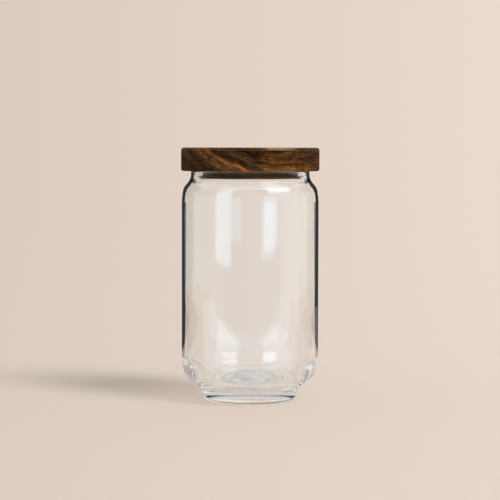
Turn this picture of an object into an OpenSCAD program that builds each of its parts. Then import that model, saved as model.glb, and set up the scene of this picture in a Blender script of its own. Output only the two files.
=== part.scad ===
// Storage jar of clear glass, closed by a turned wooden lid with a silicone seal.
// The foot stands on z = 0 and every piece is round about the z axis.
// Outlines are half sections, written as corners [radius, height, fillet].

/* [Jar] */
// Outer diameter of the straight wall
jar_d = 95; // [88:0.5:120]
// Height of the glass from the foot to the rim
jar_h = 159; // [110:1:220]
// Thickness of the straight wall, the shoulder and the cone
wall = 3.5; // [2:0.1:5]
// Thickness of the glass at its centre, above the hollow underside
base_t = 8.5; // [5:0.5:12]
// Height over which the top of the wall leans in, below the shoulder
lean_h = 7.2; // [4:0.1:10]
// Slope of the leaning part from vertical
lean_slope = 9.6; // [4:0.1:14]
// Radius of the soft bend where the wall starts to lean
lean_r = 50; // [30:1:80]
// Radius of the shoulder's outer arc
shoulder_r = 8.4; // [6:0.1:10]
// Radius of the shoulder's inner arc
shoulder_in_r = 7.2; // [4:0.1:9]
// Slope of the shoulder from vertical, where it runs into the neck
shoulder_slope = 40.6; // [34:0.1:48]
// Fillet between the wall and the cone below it, outside
cone_r = 17; // [10:0.5:22]
// Fillet between the wall and the cone below it, inside
cone_in_r = 24; // [12:0.5:30]
// Slope of the cone from vertical
cone_slope = 48; // [42:1:52]
// Fillet between the cone and the floor, inside
floor_r = 9; // [3:0.5:14]

/* [Neck] */
// Inner diameter of the neck, which the seal fits
bore_d = 74.4; // [68:0.1:80]
// Thickness of the neck
neck_wall = 3.9; // [3:0.1:4.4]
// Height of the straight neck
neck_h = 5.5; // [4:0.1:8]
// Fillet between the neck and the shoulder, outside
neck_r = 9.4; // [4:0.1:11]
// Fillet between the bore and the shoulder, inside
throat_r = 10.6; // [5:0.1:12]
// Rounding of the rim's two edges
rim_r = 1; // [0.5:0.1:1.2]

/* [Foot] */
// Diameter of the foot where the cone meets it
foot_d = 69.1; // [64:0.1:74]
// Height of the foot
foot_h = 7.7; // [5:0.1:10]
// Slope of the foot's side from vertical
foot_slope = 23.4; // [10:0.1:30]
// Fillet between the foot and the cone above it
waist_r = 1; // [0.5:0.1:3]
// Rounding of the foot's lower edge
heel_r = 3.3; // [1:0.1:4]
// Width of the flat ring that the foot stands on
land_w = 1.2; // [0.8:0.1:3]
// Rounding of the ring's inner edge
land_edge_r = 1; // [0.5:0.1:2]
// Depth of the hollow under the foot
punt_depth = 2.2; // [1:0.1:4]
// Slope of the hollow's side from vertical
punt_slope = 45; // [20:1:60]
// Fillet between the hollow's side and its top
punt_fillet_r = 2; // [1:0.1:4]

/* [Lid] */
// Diameter of the lid
lid_d = 96; // [90:0.1:122]
// Thickness of the lid above the rim
lid_t = 16.2; // [8:0.1:24]
// Rounding of the lid's upper edge
lid_top_r = 2; // [0.5:0.1:3]
// Rounding of the lid's lower edge
lid_low_r = 1.6; // [0.3:0.1:2]
// Depth of the plug below the rim
plug_depth = 5.6; // [5:0.1:12]
// Gap between the plug's collar and the bore of the neck
plug_clearance = 2.1; // [1.2:0.1:3]
// Rounding of the plug's lower edge
plug_r = 0.5; // [0.2:0.1:0.8]
// Height of the collar that keeps the seal on the plug
collar_h = 1; // [0.8:0.1:1.6]
// Depth of the groove that the seal lies in
groove_depth = 3.2; // [2:0.1:4]

/* [Seal] */
// Thickness of the band that lies on the bottom of the groove
band_t = 1.1; // [0.8:0.1:1.6]
// Height of the band below the lowest fin
band_edge = 0.2; // [0.1:0.1:0.5]
// Number of fins round the band, spread over its height from the lid down
fins = 2; // [1:1:3]
// Thickness of a fin where it leaves the band
fin_root_t = 1; // [0.6:0.1:1.1]
// Thickness of a fin at its tip
fin_tip_t = 0.5; // [0.3:0.1:0.6]
// Fall of a fin from its root to its tip
fin_fall = 0.2; // [0:0.1:0.5]

/* [Fits] */
// Gap between the tips of the fins and the bore of the neck
seal_clearance = 0.1; // [0.05:0.01:0.3]
// Gap between the rim and the lid that rests on it
rest_clearance = 0.05; // [0.02:0.01:0.2]
// How far the chord of a curve may stray from its true arc
chord_error = 0.02; // [0.01:0.01:0.1]

/* [Hidden] */
$fn = 180;

// Outer radius of the wall, and both radii of the neck
jar_r = jar_d / 2;
bore_r = bore_d / 2;
neck_outer_r = bore_r + neck_wall;

// Radius and height at which the wall turns into the shoulder, outside
neck_z = jar_h - neck_h;
shoulder_corner_r = jar_r - lean_h * tan(lean_slope);
shoulder_z = neck_z - (shoulder_corner_r - neck_outer_r) / tan(shoulder_slope);

// Height at which the cone starts, outside
foot_r = foot_d / 2;
cone_z = foot_h + (jar_r - foot_r) / tan(cone_slope);

// Corners of the wall outside, and the same corners one wall further in
shoulder = [shoulder_corner_r, shoulder_z, shoulder_r];
lean = [jar_r, shoulder_z - lean_h, lean_r];
cone = [jar_r, cone_z, cone_r];
inner_shoulder = further_in(shoulder, lean_slope, shoulder_slope, shoulder_in_r);
inner_lean = further_in(lean, 0, lean_slope, lean_r - wall);
inner_cone = further_in(cone, -cone_slope, 0, cone_in_r);

// Height at which the shoulder meets the bore, and the corner of the floor inside
throat_z = inner_shoulder[1] + (inner_shoulder[0] - bore_r) / tan(shoulder_slope);
floor_z = punt_depth + base_t;
floor_corner_r = inner_cone[0] - (inner_cone[1] - floor_z) * tan(cone_slope);

// Corner of the inner face, where the outer one has a slope below and one above
function further_in(corner, below, above, radius) =
    let (reach = wall / cos((above - below) / 2), middle = (above + below) / 2)
    [corner[0] - reach * cos(middle), corner[1] - reach * sin(middle), radius];

// Edges of the ring that the foot stands on, and of the hollow inside it
heel_corner_r = foot_r - foot_h * tan(foot_slope);
land_outer_r = heel_corner_r - heel_r * tan((90 - foot_slope) / 2);
land_corner_r = land_outer_r - land_w - land_edge_r * tan((90 - punt_slope) / 2);
punt_r = land_corner_r - punt_depth * tan(punt_slope);

// Heights of the lid
lid_z = jar_h + rest_clearance;
lid_top_z = lid_z + lid_t;
plug_z = jar_h - plug_depth;
collar_z = plug_z + collar_h;

// Radii of the plug and the seal
collar_r = bore_r - plug_clearance;
groove_r = collar_r - groove_depth;
band_r = groove_r + band_t;
fin_r = bore_r - seal_clearance;

// Middle of the top fin's root, which lies against the lid, and the step to the next
top_fin_z = lid_z - fin_root_t / 2;
fin_pitch = (lid_z - collar_z - fin_root_t - band_edge) / max(1, fins - 1);

// Unit vector from one corner towards another
function towards(a, b) = [b[0] - a[0], b[1] - a[1]] / distance(a, b);

// Distance between two corners
function distance(a, b) = norm([b[0] - a[0], b[1] - a[1]]);

// Half of the angle between the two sides that meet at corner b
function half_angle(a, b, c) = acos(max(-1, min(1, towards(b, a) * towards(b, c)))) / 2;

// Length of side that the fillet at corner b takes up
function wanted(a, b, c) = b[2] == 0 ? 0 : b[2] / tan(half_angle(a, b, c));

// Share of two fillets' lengths that a side can hold, at most 1
function side_share(length, first, second) =
    first + second == 0 ? 1 : min(1, length / (first + second));

// Points of the arc that rounds corner b, where the fillet takes up a length of each side
function arc(a, b, c, length) =
    let (
        half = half_angle(a, b, c),
        radius = length * tan(half),
        middle = (towards(b, a) + towards(b, c)) / (2 * cos(half)),
        centre = [b[0], b[1]] + middle * radius / sin(half),
        start = [b[0], b[1]] + towards(b, a) * length - centre,
        turn = 180 - 2 * half,
        side = sign(start[0] * (-middle[1]) - start[1] * (-middle[0])),
        steps = ceil(turn / (2 * acos(1 - min(1, chord_error / radius))))
    )
    [for (i = [0 : steps])
        let (angle = side * turn * i / steps)
        centre + [start[0] * cos(angle) - start[1] * sin(angle),
                  start[0] * sin(angle) + start[1] * cos(angle)]];

// Outline through the corners, each rounded by its fillet
// Two fillets that don't both fit on the side between them shrink alike
function rounded(corners) =
    let (
        n = len(corners),
        lengths = [for (i = [0 : n - 1])
            wanted(corners[(i + n - 1) % n], corners[i], corners[(i + 1) % n])],
        shares = [for (i = [0 : n - 1])
            side_share(distance(corners[i], corners[(i + 1) % n]), lengths[i], lengths[(i + 1) % n])]
    )
    [for (i = [0 : n - 1])
        let (
            before = corners[(i + n - 1) % n],
            after = corners[(i + 1) % n],
            length = lengths[i] * min(shares[i], shares[(i + n - 1) % n])
        )
        each (length == 0 ? [[corners[i][0], corners[i][1]]] : arc(before, corners[i], after, length))];

// Solid that the outline sweeps round the z axis
module turned(corners) {
    rotate_extrude() polygon(rounded(corners));
}

// Blown and pressed in one piece: foot, cone, straight wall, shoulder and neck
module glass_jar() {
    outside = [
        [land_corner_r, 0, land_edge_r],
        [heel_corner_r, 0, heel_r],
        [foot_r, foot_h, waist_r],
        cone,
        lean,
        shoulder,
        [neck_outer_r, neck_z, neck_r],
        [neck_outer_r, jar_h, rim_r]
    ];
    inside = [
        [bore_r, jar_h, rim_r],
        [bore_r, throat_z, throat_r],
        inner_shoulder,
        inner_lean,
        inner_cone,
        [floor_corner_r, floor_z, floor_r],
        [0, floor_z, 0]
    ];
    underside = [
        [0, punt_depth, 0],
        [punt_r, punt_depth, punt_fillet_r]
    ];
    color([0.82, 0.87, 0.86, 0.4]) turned(concat(outside, inside, underside));
}

// Turned in one piece: the disc, and the plug with the groove for the seal
module wooden_lid() {
    disc = [
        [0, lid_top_z, 0],
        [lid_d / 2, lid_top_z, lid_top_r],
        [lid_d / 2, lid_z, lid_low_r]
    ];
    plug = [
        [groove_r, lid_z, 0],
        [groove_r, collar_z, 0],
        [collar_r, collar_z, plug_r / 2],
        [collar_r, plug_z, plug_r],
        [0, plug_z, 0]
    ];
    color([0.36, 0.21, 0.1]) turned(concat(disc, plug));
}

// Moulded silicone ring: a band in the groove, and fins that reach the glass
module seal_ring() {
    back = [
        [groove_r, collar_z, 0],
        [groove_r, lid_z, 0]
    ];
    front = [for (i = [0 : fins - 1])
        let (root_z = top_fin_z - i * fin_pitch, tip_z = root_z - fin_fall)
        each [
            [band_r, root_z + fin_root_t / 2, 0],
            [fin_r, tip_z + fin_tip_t / 2, fin_tip_t / 3],
            [fin_r, tip_z - fin_tip_t / 2, fin_tip_t / 3],
            [band_r, root_z - fin_root_t / 2, fin_tip_t / 2]
        ]];
    color([0.9, 0.9, 0.88, 0.7]) turned(concat(back, front, [[band_r, collar_z, 0]]));
}

glass_jar();
wooden_lid();
seal_ring();
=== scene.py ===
import math
import bmesh
import bpy
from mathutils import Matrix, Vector


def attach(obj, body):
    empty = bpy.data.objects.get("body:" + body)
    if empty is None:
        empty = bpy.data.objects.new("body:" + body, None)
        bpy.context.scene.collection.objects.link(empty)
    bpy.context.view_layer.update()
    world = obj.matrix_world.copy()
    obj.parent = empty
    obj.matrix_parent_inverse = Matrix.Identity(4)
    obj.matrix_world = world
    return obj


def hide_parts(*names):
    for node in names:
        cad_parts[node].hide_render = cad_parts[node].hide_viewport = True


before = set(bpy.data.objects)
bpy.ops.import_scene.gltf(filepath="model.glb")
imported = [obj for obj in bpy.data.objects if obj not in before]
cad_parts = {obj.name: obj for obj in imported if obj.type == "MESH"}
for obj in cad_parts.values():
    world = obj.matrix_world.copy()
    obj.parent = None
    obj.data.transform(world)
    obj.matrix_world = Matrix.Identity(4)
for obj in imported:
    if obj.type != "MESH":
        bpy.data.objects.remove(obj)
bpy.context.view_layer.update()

# Lengths below are in metres, MM turns millimetres into them
MM = 0.001

# Sizes of the glass, as in the part
JAR_R = 47.5 * MM
JAR_H = 159 * MM
WALL = 3.5 * MM
BASE_T = 8.5 * MM
SHOULDER_R = 8.4 * MM
SHOULDER_IN_R = 7.2 * MM
SHOULDER_SLOPE = math.radians(40.6)
LEAN_H = 7.2 * MM
LEAN_SLOPE = math.radians(9.6)
LEAN_R = 50 * MM
CONE_R = 17 * MM
CONE_IN_R = 24 * MM
FLOOR_R = 9 * MM
CONE_SLOPE = math.radians(48)
BORE_R = 37.2 * MM
NECK_WALL = 3.9 * MM
NECK_H = 5.5 * MM
NECK_R = 9.4 * MM
THROAT_R = 10.6 * MM
RIM_R = 1 * MM
FOOT_R = 34.55 * MM
FOOT_H = 7.7 * MM
FOOT_SLOPE = math.radians(23.4)
WAIST_R = 1 * MM
HEEL_R = 3.3 * MM
LAND_W = 1.2 * MM
LAND_EDGE_R = 1 * MM
PUNT_DEPTH = 2.2 * MM
PUNT_SLOPE = math.radians(45)
PUNT_FILLET_R = 2 * MM

# Sizes of the lid and its seal, as in the part
LID_R = 48 * MM
LID_T = 16.2 * MM
LID_TOP_R = 2 * MM
LID_LOW_R = 1.6 * MM
PLUG_DEPTH = 5.6 * MM
PLUG_CLEARANCE = 2.1 * MM
PLUG_R = 0.5 * MM
COLLAR_H = 1 * MM
GROOVE_DEPTH = 3.2 * MM
BAND_T = 1.1 * MM
BAND_EDGE = 0.2 * MM
FINS = 2
FIN_ROOT_T = 1 * MM
FIN_TIP_T = 0.5 * MM
FIN_FALL = 0.2 * MM
SEAL_CLEARANCE = 0.1 * MM
REST_CLEARANCE = 0.05 * MM

# Colour of the floor and the background, as linear light
PALE = (0.757, 0.650, 0.560)

# Strength of the soft light from all round, where 1 would light the floor fully
AMBIENT = 0.59

# Level of the floor and the background at the left and the right. It follows the sideways slope of
# lines that fan out from a fixed place in front of the jar, where the photograph was taken from, so
# that the floor meets the background without a seam in that view
# On the floor these levels are painted light: its colour is scaled brighter towards the right
LEFT_LEVEL = 0.885
RIGHT_LEVEL = 1.115
SIDE_SLOPE = 0.2
FAN_Y = -1.19

# Depth of a ray that the outer face of the glass mirrors, of one mirrored once inside the wall, and
# the depth that rays pass where they came through both walls or are lost in the base
OUTER_DEPTH = 1.0
WALL_DEPTH = 3.0
DEEP = 3.5


# Outlines

def unit(a, b):
    """Unit vector in the plane from corner a towards corner b."""
    x, z = b[0] - a[0], b[1] - a[1]
    length = math.hypot(x, z)
    return x / length, z / length


def fillet(before, corner, after, length, step):
    """Points of the arc that takes up a length of both sides of a corner."""
    u, v = unit(corner, before), unit(corner, after)
    half = math.acos(max(-1, min(1, u[0] * v[0] + u[1] * v[1]))) / 2
    radius = length * math.tan(half)
    middle = ((u[0] + v[0]) / (2 * math.cos(half)), (u[1] + v[1]) / (2 * math.cos(half)))
    reach = radius / math.sin(half)
    centre = (corner[0] + middle[0] * reach, corner[1] + middle[1] * reach)
    start = (corner[0] + u[0] * length - centre[0], corner[1] + u[1] * length - centre[1])
    turn = math.pi - 2 * half
    side = math.copysign(1, start[0] * -middle[1] + start[1] * middle[0])
    steps = max(2, math.ceil(turn / step))
    points = []
    for i in range(steps + 1):
        a = side * turn * i / steps
        points.append((centre[0] + start[0] * math.cos(a) - start[1] * math.sin(a),
                       centre[1] + start[0] * math.sin(a) + start[1] * math.cos(a)))
    return points


def rounded(corners, step):
    """Outline through corners (radius, height, fillet), with an arc at each fillet."""
    n = len(corners)

    def wanted(i):
        a, b, c = corners[i - 1], corners[i], corners[(i + 1) % n]
        if b[2] == 0:
            return 0
        u, v = unit(b, a), unit(b, c)
        return b[2] / math.tan(math.acos(max(-1, min(1, u[0] * v[0] + u[1] * v[1]))) / 2)

    lengths = [wanted(i) for i in range(n)]
    shares = []
    for i in range(n):
        a, b = corners[i], corners[(i + 1) % n]
        both = lengths[i] + lengths[(i + 1) % n]
        shares.append(1 if both == 0 else min(1, math.hypot(b[0] - a[0], b[1] - a[1]) / both))
    points = []
    for i, corner in enumerate(corners):
        length = lengths[i] * min(shares[i], shares[i - 1])
        if length == 0:
            points.append((corner[0], corner[1]))
        else:
            points += fillet(corners[i - 1], corner, corners[(i + 1) % n], length, step)
    return points


def add_object(name, mesh):
    """A new object for a mesh, in the scene."""
    obj = bpy.data.objects.new(name, mesh)
    bpy.context.collection.objects.link(obj)
    return obj


def turned(name, outline, segments):
    """Closed smooth mesh that an outline sweeps round the Z axis."""
    mesh = bpy.data.meshes.new(name)
    build = bmesh.new()
    on_axis = 1e-7
    rows = []
    for r, z in outline:
        if r < on_axis:
            rows.append([build.verts.new((0, 0, z))])
        else:
            turns = [2 * math.pi * i / segments for i in range(segments)]
            rows.append([build.verts.new((r * math.cos(a), r * math.sin(a), z)) for a in turns])
    for row, after in zip(rows, rows[1:] + rows[:1]):
        for i in range(segments):
            j = (i + 1) % segments
            if len(row) > 1 and len(after) > 1:
                build.faces.new((row[i], row[j], after[j], after[i]))
            elif len(row) > 1:
                build.faces.new((row[i], row[j], after[0]))
            elif len(after) > 1:
                build.faces.new((row[0], after[j], after[i]))
    bmesh.ops.recalc_face_normals(build, faces=build.faces)
    build.to_mesh(mesh)
    build.free()
    for face in mesh.polygons:
        face.use_smooth = True
    return add_object(name, mesh)


# Materials

class Nodes:
    """A material's node tree, with short calls to add and link nodes."""

    def __init__(self, name):
        self.material = bpy.data.materials.new(name)
        self.material.use_nodes = True
        self.tree = self.material.node_tree
        self.tree.nodes.clear()
        self.out = self.add("ShaderNodeOutputMaterial")

    def add(self, kind, inputs=None, **settings):
        """A new node, with its inputs linked or set."""
        node = self.tree.nodes.new(kind)
        for key, value in settings.items():
            setattr(node, key, value)
        for key, value in (inputs or {}).items():
            if isinstance(value, bpy.types.NodeSocket):
                self.tree.links.new(value, node.inputs[key])
            else:
                node.inputs[key].default_value = value
        return node

    def math(self, operation, *values):
        return self.add("ShaderNodeMath", dict(enumerate(values)), operation=operation).outputs[0]

    def vector(self, operation, *values):
        return self.add("ShaderNodeVectorMath", dict(enumerate(values)), operation=operation)

    def scaled(self, vector, factor):
        return self.add("ShaderNodeVectorMath", {0: vector, "Scale": factor}, operation="SCALE").outputs[0]

    def mapped(self, value, start, end, to_start=0.0, to_end=1.0, **settings):
        """A value mapped from one range to another, and kept within it."""
        return self.add("ShaderNodeMapRange", {
            "Value": value, "From Min": start, "From Max": end, "To Min": to_start, "To Max": to_end},
            **settings).outputs[0]

    def from_axis(self, place):
        """Distance of a place from the Z axis."""
        return self.vector("LENGTH", self.vector("MULTIPLY", place, (1, 1, 0)).outputs[0]).outputs["Value"]

    def surface(self, socket):
        self.tree.links.new(socket, self.out.inputs["Surface"])

    def light(self, shown, color, strength):
        """Finish as a light where it's shown, clear elsewhere."""
        light = self.add("ShaderNodeEmission", {"Color": (*color, 1), "Strength": strength})
        clear = self.add("ShaderNodeBsdfTransparent")
        mix = self.add("ShaderNodeMixShader", {0: shown, 1: clear.outputs[0], 2: light.outputs[0]})
        self.surface(mix.outputs[0])
        return self.material


def glass_material():
    """Clear glass, which lets lamps and the floor's soft light straight through."""
    n = Nodes("clear_glass")
    glass = n.add("ShaderNodeBsdfPrincipled", {
        "Base Color": (0.976, 0.984, 0.987, 1),
        "Roughness": 0.0,
        "IOR": 1.5,
        "Transmission Weight": 1.0,
    })
    shade = n.add("ShaderNodeBsdfTransparent", {"Color": (0.90, 0.89, 0.875, 1)})
    clear = n.add("ShaderNodeBsdfTransparent", {"Color": (0.995, 0.993, 0.99, 1)})
    path = n.add("ShaderNodeLightPath")
    lamps = n.add("ShaderNodeMixShader", {
        0: path.outputs["Is Shadow Ray"], 1: glass.outputs[0], 2: shade.outputs[0]})
    soft = n.add("ShaderNodeMixShader", {
        0: path.outputs["Is Diffuse Ray"], 1: lamps.outputs[0], 2: clear.outputs[0]})
    n.surface(soft.outputs[0])
    return n.material


def wood_material():
    """Dark figured hardwood: rings round a pith above the lid, streaks, pores, a satin sheen and a painted
    highlight along the upper edge.
    """
    n = Nodes("dark_wood")
    place = n.add("ShaderNodeTexCoord").outputs["Object"]
    pith_x, pith_z = 25.5 * MM, LID_Z + 74 * MM
    turn_r = 75 * MM
    warp = 0.007

    def noise(vector, scale, detail=2.0, rough=0.5):
        return n.add("ShaderNodeTexNoise", {
            "Vector": vector, "Scale": scale, "Detail": detail, "Roughness": rough})

    def stretched(vector, x, y, z):
        return n.vector("MULTIPLY", vector, (x, y, z)).outputs[0]

    def ramp(value, stops, interpolation="EASE"):
        node = n.add("ShaderNodeValToRGB", {0: value})
        node.color_ramp.interpolation = interpolation
        elements = node.color_ramp.elements
        while len(elements) < len(stops):
            elements.new(0.5)
        for element, (position, color) in zip(elements, stops):
            element.position = position
            element.color = (*color, 1)
        return node.outputs[0]

    def mixed(factor, a, b, blend="MIX"):
        node = n.add("ShaderNodeMix", {0: factor}, data_type="RGBA", blend_type=blend)
        for key, value in ((6, a), (7, b)):
            if isinstance(value, bpy.types.NodeSocket):
                n.tree.links.new(value, node.inputs[key])
            else:
                node.inputs[key].default_value = (*value, 1)
        return node.outputs[2]

    # Place in the tree: distance from the pith, which runs along Y above the lid
    wave = noise(stretched(place, 1, 0.35, 1), 45.0, 2.0).outputs["Color"]
    shift = n.scaled(n.vector("SUBTRACT", wave, (0.5, 0.5, 0.5)).outputs[0], warp)
    moved = n.vector("ADD", place, shift).outputs[0]
    part = n.add("ShaderNodeSeparateXYZ", {0: moved})
    across = n.math("SUBTRACT", n.math("SUBTRACT", part.outputs["X"], pith_x),
                    n.math("MULTIPLY", part.outputs["Y"], 0.12))
    down = n.math("SUBTRACT", part.outputs["Z"], pith_z)
    reach = n.math("SQRT", n.math("ADD", n.math("MULTIPLY", across, across),
                                  n.math("MULTIPLY", down, down)))
    turn = n.math("MULTIPLY", n.math("ARCTAN2", across, n.math("MULTIPLY", down, -1.0)), turn_r)
    grain = n.add("ShaderNodeCombineXYZ", {0: reach, 1: part.outputs["Y"], 2: turn}).outputs[0]

    # Broad figure: bands of the rings, dark at the left and golden at the right
    bands = ramp(n.mapped(reach, 50 * MM, 90 * MM), [
        (0.0, (0.060, 0.027, 0.008)), (0.25, (0.034, 0.015, 0.0055)), (0.38, (0.032, 0.0145, 0.0055)),
        (0.46, (0.045, 0.021, 0.009)), (0.53, (0.055, 0.029, 0.014)), (0.60, (0.062, 0.031, 0.015)),
        (0.635, (0.045, 0.020, 0.009)), (0.67, (0.16, 0.070, 0.025)), (0.695, (0.22, 0.10, 0.040)),
        (0.735, (0.11, 0.047, 0.017)), (0.80, (0.125, 0.055, 0.021)), (0.88, (0.064, 0.028, 0.010)),
        (1.0, (0.042, 0.019, 0.006))])
    gold = noise(grain, 150.0, 3.0, 0.6).outputs[0]
    golden = mixed(gold, (0.095, 0.040, 0.0085), (0.24, 0.103, 0.026))
    rise = n.math("SUBTRACT", part.outputs["Z"], LID_Z)
    wander = noise(stretched(grain, 160, 20, 22), 1.0, 2.0).outputs[0]
    drift = n.math("MULTIPLY", n.math("SUBTRACT", wander, 0.5), 0.05)
    lean = n.math("SUBTRACT", part.outputs["X"], n.math("MULTIPLY", rise, 0.9))
    side = n.mapped(n.math("ADD", lean, drift), -3 * MM, 16 * MM, interpolation_type="SMOOTHSTEP")
    color = mixed(n.math("MULTIPLY", side, 0.9), bands, golden)

    # Darker again towards the far right of the face
    slant = n.math("ADD", n.math("ADD", part.outputs["X"], rise), drift)
    color = n.scaled(color, n.mapped(slant, 32 * MM, 48 * MM, 1.0, 0.4))

    # Golden part brighter towards its lower edge, and mottled
    low = n.mapped(rise, 2 * MM, 13 * MM, 1.3, 0.8)
    color = n.scaled(color, n.mapped(side, 0.0, 1.0, 1.0, low))
    mottle = noise(stretched(moved, 320, 320, 560), 1.0, 2.0, 0.6).outputs[0]
    color = mixed(0.7, color, ramp(mottle, [
        (0.36, (0.5, 0.48, 0.45)), (0.5, (1.0, 1.0, 1.0)), (0.64, (1.45, 1.42, 1.35))]), "MULTIPLY")

    # Streaks along the rings, broad and fine
    broad = noise(stretched(grain, 420, 14, 34), 1.0, 3.0, 0.6).outputs[0]
    color = mixed(1.0, color, ramp(broad, [
        (0.30, (0.36, 0.33, 0.30)), (0.5, (0.92, 0.9, 0.88)), (0.68, (1.7, 1.65, 1.5))]), "MULTIPLY")
    fine = noise(stretched(grain, 1500, 30, 120), 1.0, 2.0).outputs[0]
    color = mixed(0.8, color, ramp(fine, [
        (0.34, (0.45, 0.42, 0.38)), (0.5, (1.0, 1.0, 1.0)), (0.66, (1.5, 1.48, 1.4))]), "MULTIPLY")

    # Painted highlight: the upper edge is lightened, most at the right, as a glint of the lamp
    edge = n.add("ShaderNodeSeparateXYZ", {0: place})
    rim = n.mapped(n.from_axis(place), 45.6 * MM, 47.0 * MM)
    top = n.mapped(n.math("SUBTRACT", edge.outputs["Z"], LID_Z), 13.9 * MM, 15.0 * MM)
    begin = n.mapped(edge.outputs["X"], 7 * MM, 13 * MM, 0.15)
    end = n.mapped(edge.outputs["X"], 24 * MM, 32 * MM, 1.0, 0.15)
    painted_edge_highlight = n.math("MULTIPLY", n.math("MULTIPLY", rim, top), n.math("MINIMUM", begin, end))
    color = mixed(n.math("MULTIPLY", painted_edge_highlight, 0.8), color, (0.36, 0.21, 0.115))

    # Pores: short dark dashes
    pore = noise(stretched(moved, 560, 260, 1500), 1.0, 1.0).outputs[0]
    pores = ramp(pore, [(0.57, (1, 1, 1)), (0.66, (0.22, 0.2, 0.18))], "LINEAR")
    color = mixed(0.85, color, pores, "MULTIPLY")

    bump = n.add("ShaderNodeBump", {"Height": pores, "Strength": 0.15, "Distance": 0.2 * MM})
    wood = n.add("ShaderNodeBsdfPrincipled", {
        "Base Color": color,
        "Roughness": n.mapped(fine, 0.3, 0.7, 0.62, 0.5),
        "Specular IOR Level": 0.03,
        "Specular Tint": (1.0, 0.62, 0.32, 1),
        "Normal": bump.outputs[0],
    })
    n.surface(wood.outputs[0])
    return n.material


def silicone_material():
    """Clear greyish silicone, a little cloudy, which the dark plug shows through."""
    n = Nodes("silicone")
    rubber = n.add("ShaderNodeBsdfPrincipled", {
        "Base Color": (0.62, 0.56, 0.48, 1),
        "Roughness": 0.15,
        "IOR": 1.41,
        "Transmission Weight": 0.95,
    })
    n.surface(rubber.outputs[0])
    return n.material


def floor_material():
    """Pale floor, with painted light that brightens it a little towards the right like the background."""
    n = Nodes("pale_floor")
    part = n.add("ShaderNodeSeparateXYZ", {0: n.add("ShaderNodeNewGeometry").outputs["Position"]})

    def square(value):
        return n.math("MULTIPLY", value, value)

    # Painted light: the floor's colour is scaled brighter towards the right
    away = n.math("SUBTRACT", part.outputs["Y"], FAN_Y)
    span = n.math("SQRT", n.math("ADD", 1.0, n.math("ADD", square(part.outputs["X"]), square(away))))
    slope = n.math("DIVIDE", part.outputs["X"], span)
    level = n.mapped(slope, -SIDE_SLOPE, SIDE_SLOPE, LEFT_LEVEL, RIGHT_LEVEL)
    floor = n.add("ShaderNodeBsdfPrincipled", {
        "Base Color": n.scaled(PALE, level),
        "Roughness": 0.9,
        "Specular IOR Level": 0.0,
    })
    n.surface(floor.outputs[0])
    return n.material


def card_material(name, color, strength, low_fade=0.0, inner=True):
    """Light of a card that shows only in rays mirrored an odd number of times.

    Its lowest part fades to a low level, over a share of its height. Where inner is false it's clear
    too for light mirrored once inside the glass's wall.
    """
    low_level = 0.6
    n = Nodes(name)
    depth = n.add("ShaderNodeLightPath").outputs["Ray Depth"]
    shown = n.math("MODULO", depth, 2.0)
    if not inner:
        once = n.math("COMPARE", depth, WALL_DEPTH, 0.5)
        shown = n.add("ShaderNodeMath", {0: shown, 1: once}, operation="SUBTRACT", use_clamp=True).outputs[0]
    if low_fade:
        part = n.add("ShaderNodeSeparateXYZ", {0: n.add("ShaderNodeTexCoord").outputs["Generated"]})
        strength = n.mapped(part.outputs["Z"], 0.0, low_fade, low_level, strength,
                            interpolation_type="SMOOTHSTEP")
    return n.light(shown, color, strength)


def depth_material(name, depth, color, strength):
    """Light that shows only to rays of one depth, clear for the rest."""
    n = Nodes(name)
    here = n.add("ShaderNodeLightPath").outputs["Ray Depth"]
    return n.light(n.math("COMPARE", here, depth, 0.5), color, strength)


def streaky_material(name, color, depth, scales, span, levels, fade=None):
    """Light in streaks about the axis, for rays of one depth, or for all that are deep.

    The scales of the noise are across and along the streaks. A span of the noise is mapped to two
    levels, and the light fades out between two distances from the axis.
    """
    n = Nodes(name)
    place = n.add("ShaderNodeTexCoord").outputs["Object"]
    part = n.add("ShaderNodeSeparateXYZ", {0: place})
    reach = n.from_axis(place)
    across, along = scales
    where = n.add("ShaderNodeCombineXYZ", {
        0: n.math("MULTIPLY", part.outputs["X"], along),
        1: n.math("MULTIPLY", part.outputs["Y"], along),
        2: n.math("MULTIPLY", reach, across),
    }).outputs[0]
    streaks = n.add("ShaderNodeTexNoise", {"Vector": where, "Scale": 1.0, "Detail": 1.0}).outputs[0]
    here = n.add("ShaderNodeLightPath").outputs["Ray Depth"]
    operation = "GREATER_THAN" if depth == DEEP else "COMPARE"
    shown = n.math(operation, here, depth, 0.5)
    if fade:
        shown = n.math("MULTIPLY", shown, n.mapped(reach, *fade, 1.0, 0.0))
    return n.light(shown, color, n.mapped(streaks, *span, *levels))


# The pieces

def inside(corner, below, above, radius):
    """Corner of the inner face, one wall in from an outer corner where two slopes meet."""
    reach = WALL / math.cos((above - below) / 2)
    middle = (above + below) / 2
    return corner[0] - reach * math.cos(middle), corner[1] - reach * math.sin(middle), radius


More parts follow.
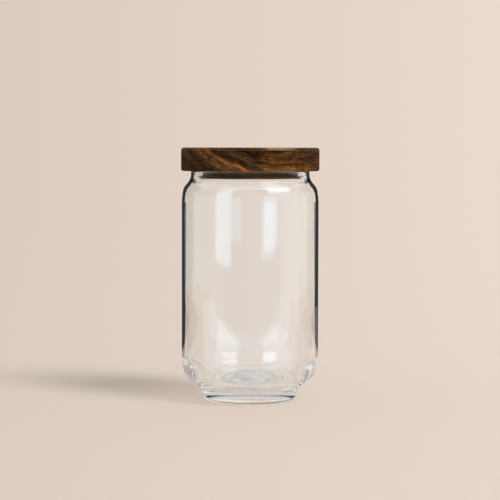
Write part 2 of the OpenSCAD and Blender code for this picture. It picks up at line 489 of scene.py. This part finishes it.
def jar_corners():
    """Corners of the glass, outside, inside and underneath."""
    neck_outer_r = BORE_R + NECK_WALL
    neck_z = JAR_H - NECK_H
    lean_r = JAR_R - LEAN_H * math.tan(LEAN_SLOPE)
    lean_z = neck_z - (lean_r - neck_outer_r) / math.tan(SHOULDER_SLOPE)
    shoulder = (lean_r, lean_z, SHOULDER_R)
    lean = (JAR_R, lean_z - LEAN_H, LEAN_R)
    cone = (JAR_R, FOOT_H + (JAR_R - FOOT_R) / math.tan(CONE_SLOPE), CONE_R)
    inner_shoulder = inside(shoulder, LEAN_SLOPE, SHOULDER_SLOPE, SHOULDER_IN_R)
    inner_lean = inside(lean, 0, LEAN_SLOPE, LEAN_R - WALL)
    inner_cone = inside(cone, -CONE_SLOPE, 0, CONE_IN_R)
    throat_z = inner_shoulder[1] + (inner_shoulder[0] - BORE_R) / math.tan(SHOULDER_SLOPE)
    floor_z = PUNT_DEPTH + BASE_T
    floor_r = inner_cone[0] - (inner_cone[1] - floor_z) * math.tan(CONE_SLOPE)
    heel_corner_r = FOOT_R - FOOT_H * math.tan(FOOT_SLOPE)
    land_outer_r = heel_corner_r - HEEL_R * math.tan((math.pi / 2 - FOOT_SLOPE) / 2)
    land_corner_r = land_outer_r - LAND_W - LAND_EDGE_R * math.tan((math.pi / 2 - PUNT_SLOPE) / 2)
    return [
        (0, floor_z, 0),
        (0, PUNT_DEPTH, 0),
        (land_corner_r - PUNT_DEPTH * math.tan(PUNT_SLOPE), PUNT_DEPTH, PUNT_FILLET_R),
        (land_corner_r, 0, LAND_EDGE_R),
        (heel_corner_r, 0, HEEL_R),
        (FOOT_R, FOOT_H, WAIST_R),
        cone,
        lean,
        shoulder,
        (neck_outer_r, neck_z, NECK_R),
        (neck_outer_r, JAR_H, RIM_R),
        (BORE_R, JAR_H, RIM_R),
        (BORE_R, throat_z, THROAT_R),
        inner_shoulder,
        inner_lean,
        inner_cone,
        (floor_r, floor_z, FLOOR_R),
    ]


LID_Z = JAR_H + REST_CLEARANCE
PLUG_Z = JAR_H - PLUG_DEPTH
COLLAR_Z = PLUG_Z + COLLAR_H
COLLAR_R = BORE_R - PLUG_CLEARANCE
GROOVE_R = COLLAR_R - GROOVE_DEPTH
BAND_R = GROOVE_R + BAND_T


def lid_corners():
    """Corners of the lid: disc, groove and plug."""
    return [
        (0, PLUG_Z, 0),
        (0, LID_Z + LID_T, 0),
        (LID_R, LID_Z + LID_T, LID_TOP_R),
        (LID_R, LID_Z, LID_LOW_R),
        (GROOVE_R, LID_Z, 0),
        (GROOVE_R, COLLAR_Z, 0),
        (COLLAR_R, COLLAR_Z, PLUG_R / 2),
        (COLLAR_R, PLUG_Z, PLUG_R),
    ]


def seal_corners():
    """Corners of the sealing ring: band and fins."""
    corners = [(BAND_R, COLLAR_Z, 0), (GROOVE_R, COLLAR_Z, 0), (GROOVE_R, LID_Z, 0)]
    pitch = (LID_Z - COLLAR_Z - FIN_ROOT_T - BAND_EDGE) / max(1, FINS - 1)
    tip_r = BORE_R - SEAL_CLEARANCE
    for i in range(FINS):
        root_z = LID_Z - FIN_ROOT_T / 2 - i * pitch
        tip_z = root_z - FIN_FALL
        corners += [
            (BAND_R, root_z + FIN_ROOT_T / 2, 0),
            (tip_r, tip_z + FIN_TIP_T / 2, FIN_TIP_T / 3),
            (tip_r, tip_z - FIN_TIP_T / 2, FIN_TIP_T / 3),
            (BAND_R, root_z - FIN_ROOT_T / 2, FIN_TIP_T / 2),
        ]
    return corners


def make_piece(name, corners, segments, step, material, body, node):
    """A turned piece that stands for one CAD node and rides on its body."""
    piece = turned(name, rounded(corners, math.radians(step)), segments)
    piece.data.materials.append(material)
    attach(piece, body)
    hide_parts(node)


make_piece("clear_jar", jar_corners(), 256, 3, glass_material(), "jar", "glass_jar")
make_piece("figured_lid", lid_corners(), 256, 12, wood_material(), "lid", "wooden_lid")
make_piece("finned_seal", seal_corners(), 192, 20, silicone_material(), "lid", "seal_ring")


# Floor, cards and lights

def only_seen_in(obj, *rays):
    """The object shows only to the named kinds of ray."""
    for ray in ("camera", "diffuse", "glossy", "transmission", "volume_scatter", "shadow"):
        setattr(obj, "visible_" + ray, ray in rays)


def add_stage(name, points, faces, material):
    """A sheet that is part of the stage."""
    mesh = bpy.data.meshes.new(name)
    mesh.from_pydata(points, [], faces)
    mesh.materials.append(material)
    obj = add_object(name, mesh)
    return obj


def patch(name, corners, material):
    """A four-cornered sheet that shows only in glass and gloss."""
    only_seen_in(add_stage(name, corners, [(0, 1, 2, 3)], material), "glossy", "transmission")


def card(name, corners, color, strength, low_fade=0.0, inner=True):
    """A card with any four corners, seen in mirrored rays alone."""
    patch(name, corners, card_material(name, color, strength, low_fade, inner))


def standing(start, end, top):
    """Corners of a card that stands over the line between two low corners, up to a level top."""
    return [start, end, (end[0], end[1], top), (start[0], start[1], top)]


def upright(name, start, end, heights, color, strength, inner=True):
    """An upright card over the line from start to end."""
    low, high = heights
    card(name, standing((*start, low), (*end, low), high), color, strength, inner=inner)


def ring(name, path, material, start=0, end=360):
    """A band swept about the jar's axis by a path of (radius, height) points, between two azimuths."""
    steps = 64
    turns = [math.radians(start + (end - start) * i / steps) for i in range(steps + 1)]
    points = [(r * math.sin(a), -r * math.cos(a), z) for r, z in path for a in turns]
    row = steps + 1
    faces = [(k + i, k + i + 1, k + row + i + 1, k + row + i)
             for k in range(0, row * (len(path) - 1), row) for i in range(steps)]
    only_seen_in(add_stage(name, points, faces, material), "glossy", "transmission")


def flat_ring(name, near, far, height, material, start=0, end=360):
    """A level ring between two radii."""
    ring(name, [(near, height), (far, height)], material, start, end)


def direction(azimuth, elevation=0.0):
    """Unit vector towards an azimuth, 0 towards the camera and 90 to the right, in degrees."""
    a, e = math.radians(azimuth), math.radians(elevation)
    return Vector((math.sin(a) * math.cos(e), -math.cos(a) * math.cos(e), math.sin(e)))


def spot(azimuth, distance):
    """Sideways and forward place at an azimuth and a distance from the jar's axis."""
    a = math.radians(azimuth)
    return distance * math.sin(a), -distance * math.cos(a)


def build_floor():
    w = 30
    add_stage("floor", [(-w, -w, 0), (w, -w, 0), (w, w, 0), (-w, w, 0)], [(0, 1, 2, 3)], floor_material())


def build_room():
    """Walls, ceiling, table and windows that show in the glass and in the lid's sheen."""
    left, right, front, back, height = -0.75, 0.9, -0.36, 0.6, 1.2
    flag, flag_top, flag_front, dark = 0.5, 0.4, 0.26, 0.05
    low = 1 * MM
    grey = (0.97, 1.0, 1.0)
    cool = (0.86, 1.0, 1.12)
    window = (0.78, 1.0, 1.22)
    for name, start, end, top, strength in (
            ("front_wall", (left, front), (right, front), height, 0.95),
            ("left_wall", (left, front), (left, back), height, 1.0),
            ("right_wall", (right, front), (right, back), height, 1.1),
            ("back_wall", (left, back + 10 * low), (right, back + 10 * low), height, 0.9),
            ("back_flag", (-flag, back), (flag, back), flag_top, dark)):
        upright(name, start, end, (0, top), grey, strength, inner=False)
    card("back_floor_flag", [(-flag, flag_front, low), (flag, flag_front, low), (flag, back, low),
                             (-flag, back, low)], grey, dark, inner=False)
    card("ceiling", [(left, -1, height), (right, -1, height), (right, back, height), (left, back, height)],
         grey, 0.9)

    # The table in front, brighter at both sides of its middle: azimuths of the near corners, and
    # sideways places of the far ones
    table = [(left, -0.06, low), (right, -0.06, low), (right, front, low), (left, front, low)]
    card("table", table, cool, 1.35)
    near, far_y = 0.2, -0.359
    for name, start, end, far_end, far_start, strength in (
            ("table_left", -19, -60, -0.46, -0.12, 2.1),
            ("table_right", 20, 66, 0.75, 0.13, 1.9)):
        card(name, [(*spot(start, near), 2 * low), (*spot(end, near), 2 * low), (far_end, far_y, 2 * low),
                    (far_start, far_y, 2 * low)], cool, strength)

    # Bright patches of the table, which only the outer face mirrors
    bright = depth_material("table_spot", OUTER_DEPTH, cool, 4.8)
    for name, start, end, near, far in (
            ("spot_left", -21, -43, 0.258, 0.300),
            ("spot_right", 20.7, 42, 0.243, 0.305),
            ("patch_left", -18, -42, 0.125, 0.172)):
        patch(name, [(*spot(azimuth, reach), 3 * low) for azimuth, reach in (
            (start, near), (end, near), (end, far), (start, far))], bright)

    # Light floor beside the foot, which shows in the foot's ends
    for name, strength, start, end in (("heel_spot_left", 1.3, 268, 316), ("heel_spot_right", 0.8, 44, 92)):
        flat_ring(name, 29.8 * MM, 34 * MM, 0.6 * MM, depth_material(name, OUTER_DEPTH, cool, strength),
                  start, end)

    # Windows: one near at the left, one low at the right, and the large lamp high at the right
    card("left_window", standing((-0.2488, -0.1644, 0.078), (-0.1036, -0.1856, 0.0835), 0.5),
         window, 2.8, low_fade=0.025)
    reach, foot = 0.31, 0.080
    card("right_window", standing((*spot(17.5, reach), foot), (*spot(38.5, reach), foot), 0.16),
         window, 1.9, low_fade=0.1)
    upright("right_glow", spot(50, 0.32), spot(88, 0.32), (0.02, 0.3), grey, 1.3)
    centre, reach = Vector((0, 0, 0.15)), 0.36
    corners = [centre + direction(azimuth, elevation) * reach
               for azimuth, elevation in ((31, 21), (73, 15), (99, 60), (59, 77))]
    card("key_card", corners, (0.9, 1.0, 1.1), 5.0)


def build_rims():
    """Flags that darken the rims of the glass, and light for rays that get lost in its wall."""
    white = (1, 1, 1)
    dark = depth_material("rim_flag", WALL_DEPTH, white, 0.03)
    dim = depth_material("soft_rim_flag", WALL_DEPTH, white, 0.22)
    for name, near, far, material, start, end in (
            ("low_rim_flag_left", 0.06, 12, dark, 180, 216),
            ("low_rim_flag_right", 0.7, 12, dark, 144, 180),
            ("near_rim_flag_right", 0.06, 0.7, dim, 144, 180)):
        flat_ring(name, near, far, 0.4 * MM, material, start, end)
    ring("high_rim_flag", [(0.33, 0.125), (0.33, 0.25)], dark, 144, 216)

    # Between the neck and the disc of the lid, whose underside shows in the shoulder. As parts of the
    # stage these stay where they are when the lid rises
    neck_r = 42.5 * MM
    ring("neck_flag", [(neck_r, 153.2 * MM), (neck_r, 158.8 * MM)],
         card_material("neck_flag", (1, 0.72, 0.45), 0.22), -62, 62)
    under_z = 158.95 * MM
    for name, near, far, strength, side in (
            ("rim_light", 41.2 * MM, 42.4 * MM, 2.6, 68),
            ("under_light", 42.4 * MM, 47.6 * MM, 1.2, 85)):
        flat_ring(name, near, far, under_z, card_material(name, white, strength), -side, side)
    card("under_key", [(*spot(azimuth, radius * MM), 158.8 * MM) for azimuth, radius in (
        (11.5, 44.7), (35, 47.0), (35, 48.2), (11.5, 48.2))], (0.95, 1.0, 1.05), 3.5)

    # Inside the glass of the base, and on the floor round it
    stray = streaky_material("stray_light", (1.0, 0.96, 0.91), DEEP, (900, 54), (0.36, 0.56), (0.46, 0.74))
    for name, path in (
            ("base_light", ((0.5, 5), (32.5, 5))),
            ("foot_light", ((28, 1.2), (31.2, 2.5), (33.1, 6.8))),
            ("wall_light", ((33, 8.6), (40.7, 15.6), (44.4, 20.7), (45.4, 24)))):
        ring(name, [(r * MM, z * MM) for r, z in path], stray)
    glow = streaky_material("floor_glow", PALE, DEEP, (130, 8), (0.38, 0.5), (0.94, 1.05), (0.10, 0.16))
    flat_ring("floor_glow", 31 * MM, 160 * MM, 0.3 * MM, glow)
    pale = (1.0, 0.97, 0.93)
    span = (0.46, 0.58)
    cone = streaky_material("cone_streaks", pale, WALL_DEPTH, (420, 24), span, (0.24, 0.96))
    waist = streaky_material("waist_streaks", pale, OUTER_DEPTH, (560, 24), span, (0.0, 1.3))
    for name, near, far, height, material, start, end in (
            ("cone_streaks_right", 36, 120, 0.5, cone, 84, 144),
            ("cone_streaks_left", 36, 120, 0.5, cone, 216, 276),
            ("waist_streaks_right", 34, 52, 0.7, waist, 50, 100),
            ("waist_streaks_left", 34, 52, 0.7, waist, 260, 310)):
        flat_ring(name, near * MM, far * MM, height * MM, material, start, end)


def build_lamps():
    """Two soft distant lamps to the right and in front, which light the floor evenly.

    Together with the world they light a level floor with 1, so that it shows in its own colour.
    """
    for name, azimuth, elevation, share in (("high_lamp", 50, 57, 0.55), ("low_lamp", 53, 43, 0.45)):
        data = bpy.data.lights.new(name, "SUN")
        data.energy = math.pi * (1 - AMBIENT) * share / math.sin(math.radians(elevation))
        data.angle = math.radians(18)
        data.color = (1, 1, 1)
        lamp = add_object(name, data)
        lamp.rotation_euler = direction(azimuth, elevation).to_track_quat("Z", "Y").to_euler()
        only_seen_in(lamp, "diffuse")


def build_world():
    """Soft light from all round, and the pale background where it shows."""
    world = bpy.data.worlds.new("studio")
    bpy.context.scene.world = world
    world.use_nodes = True
    tree = world.node_tree
    tree.nodes.clear()
    link = tree.links.new
    out = tree.nodes.new("ShaderNodeOutputWorld")
    ambient = tree.nodes.new("ShaderNodeBackground")
    ambient.inputs["Color"].default_value = (1, 1, 1, 1)
    ambient.inputs["Strength"].default_value = AMBIENT
    pale = tree.nodes.new("ShaderNodeBackground")
    pale.inputs["Color"].default_value = (*PALE, 1)
    place = tree.nodes.new("ShaderNodeTexCoord")
    part = tree.nodes.new("ShaderNodeSeparateXYZ")
    level = tree.nodes.new("ShaderNodeMapRange")
    for key, value in (("From Min", -SIDE_SLOPE), ("From Max", SIDE_SLOPE),
                       ("To Min", LEFT_LEVEL), ("To Max", RIGHT_LEVEL)):
        level.inputs[key].default_value = value
    link(place.outputs["Generated"], part.inputs[0])
    link(part.outputs["X"], level.inputs["Value"])
    link(level.outputs[0], pale.inputs["Strength"])
    path = tree.nodes.new("ShaderNodeLightPath")
    shown = path.outputs["Is Camera Ray"]
    for ray in ("Is Glossy Ray", "Is Transmission Ray"):
        either = tree.nodes.new("ShaderNodeMath")
        either.operation = "MAXIMUM"
        link(shown, either.inputs[0])
        link(path.outputs[ray], either.inputs[1])
        shown = either.outputs[0]
    mix = tree.nodes.new("ShaderNodeMixShader")
    link(shown, mix.inputs[0])
    link(ambient.outputs[0], mix.inputs[1])
    link(pale.outputs[0], mix.inputs[2])
    link(mix.outputs[0], out.inputs[0])


build_floor()
build_room()
build_rims()
build_lamps()
build_world()

# The camera, as the photograph was taken
CAMERA_X = -0.0002
CAMERA_DISTANCE = 1.19
CAMERA_HEIGHT = 0.1742
CAMERA_PITCH = math.radians(3.372)
CAMERA_ROLL = math.radians(-0.11)
FOCAL_PX = 1712.0
FRAME_PX = 500
SENSOR = 36.0

camera_data = bpy.data.cameras.new("camera")
camera_data.sensor_width = SENSOR
camera_data.lens = FOCAL_PX / FRAME_PX * SENSOR
camera_data.clip_end = 200
camera = bpy.data.objects.new("camera", camera_data)
bpy.context.collection.objects.link(camera)
camera.location = (CAMERA_X, -CAMERA_DISTANCE, CAMERA_HEIGHT)
camera.rotation_euler = (math.pi / 2 - CAMERA_PITCH, CAMERA_ROLL, 0)

scene = bpy.context.scene
scene.camera = camera
scene.view_settings.view_transform = "Standard"
